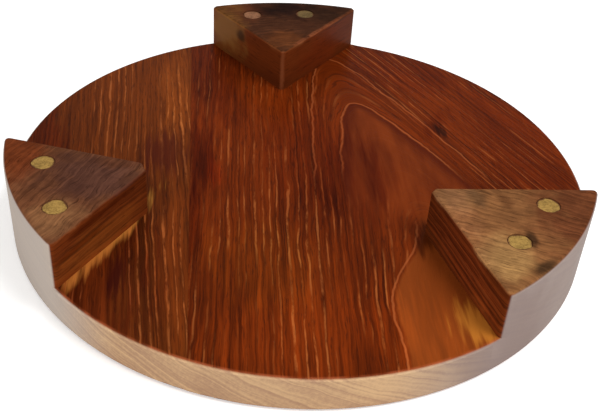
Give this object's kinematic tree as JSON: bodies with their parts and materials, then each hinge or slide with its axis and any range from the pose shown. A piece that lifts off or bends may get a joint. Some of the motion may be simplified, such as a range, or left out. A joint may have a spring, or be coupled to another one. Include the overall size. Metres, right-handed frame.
{
  "type": "round rolling board",
  "caption": "Round wooden board for rolling out dough, edge-glued from two planks, on wedge-shaped feet that are pegged on flush with its rim.",
  "frame": {"origin": "centre of the rolling face, which the board lies on with its feet up", "axes": "+Z from the rolling face towards the feet; +Y along the planks' grain, towards the foot that stands alone; +X to the right seen from the other two feet's side"},
  "size_m": [0.25, 0.25, 0.0375],
  "materials": {
    "board_wood": "satin red-brown hardwood, pale and raw on the rim",
    "foot_wood": "satin brown hardwood, worn on the standing face, raw on the outer face",
    "peg_wood": "raw pale end grain"
  },
  "bodies": {
    "root": {"board_wide_plank": "board_wood", "board_narrow_plank": "board_wood", "foot_back": "foot_wood", "foot_left": "foot_wood", "foot_right": "foot_wood", "peg_back_left": "peg_wood", "peg_back_right": "peg_wood", "peg_left_rear": "peg_wood", "peg_left_front": "peg_wood", "peg_right_rear": "peg_wood", "peg_right_front": "peg_wood"}
  },
  "joints": []
}
